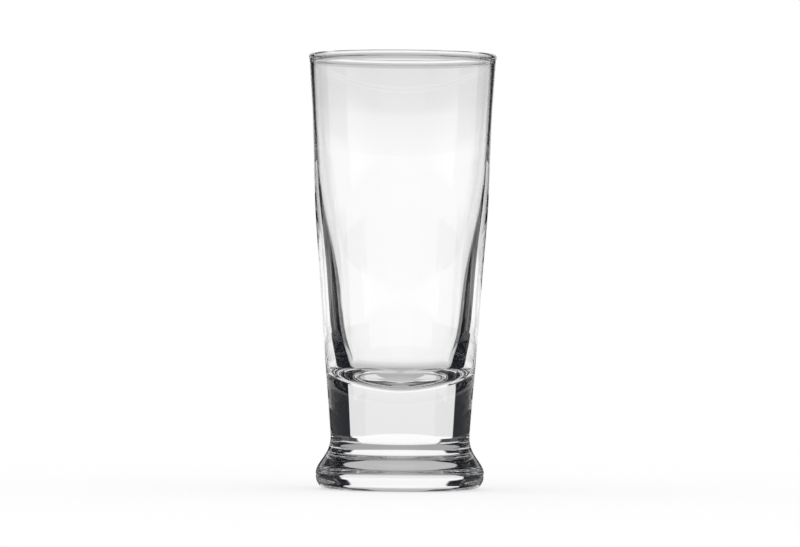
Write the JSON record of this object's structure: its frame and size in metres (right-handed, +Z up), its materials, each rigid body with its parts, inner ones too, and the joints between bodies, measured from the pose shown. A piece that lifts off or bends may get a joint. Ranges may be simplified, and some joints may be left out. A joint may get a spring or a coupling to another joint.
{
  "type": "ouzo glass",
  "caption": "Tall clear drinking glass for ouzo: tapered bowl with a rounded rim, thick solid base with a cupped floor, narrow waist and flared round foot.",
  "frame": {"origin": "centre of the ring that the glass stands on, on the table", "axes": "+Z up along the axis of the glass, from the foot to the rim; X and Y level, and all directions round the axis alike"},
  "size_m": [0.056, 0.056, 0.129],
  "materials": {
    "clear_glass": "pressed and fire-polished clear soda-lime glass"
  },
  "bodies": {
    "root": {"rim": "clear_glass", "bowl": "clear_glass", "base": "clear_glass", "foot": "clear_glass"}
  },
  "joints": []
}
